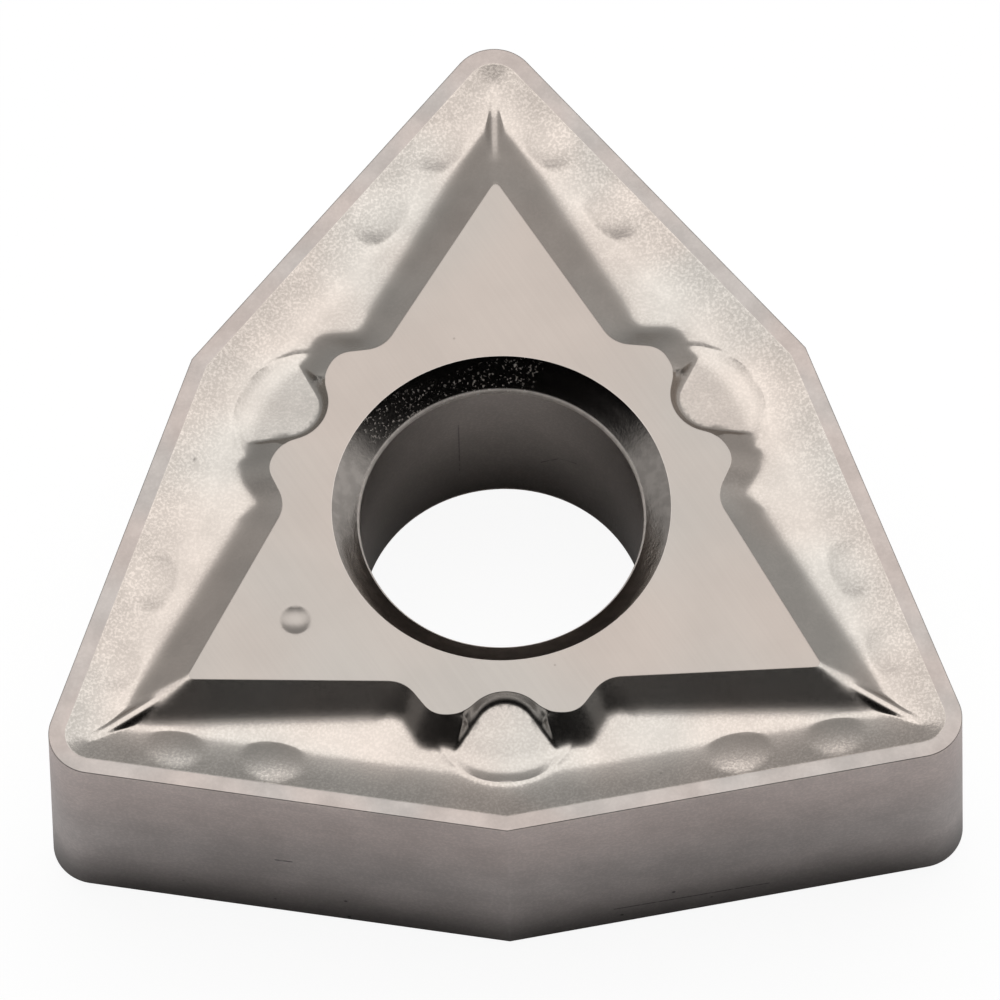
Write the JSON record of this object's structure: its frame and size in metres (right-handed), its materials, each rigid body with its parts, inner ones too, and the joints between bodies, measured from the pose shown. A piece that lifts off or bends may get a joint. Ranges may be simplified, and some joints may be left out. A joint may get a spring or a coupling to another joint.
{
  "type": "carbide insert",
  "caption": "Double-sided trigon carbide turning insert with rounded noses, pressed chip groove on both faces and a countersunk through bore.",
  "frame": {"origin": "centre of the bore at mid-thickness", "axes": "+Z along the bore towards one seat face, +Y through one nose, +X completes the right-handed frame"},
  "size_m": [0.0166, 0.0158, 0.005],
  "materials": {
    "carbide": "satin pressed and sintered carbide, ground seat faces"
  },
  "bodies": {
    "root": {"insert": "carbide"}
  },
  "joints": []
}
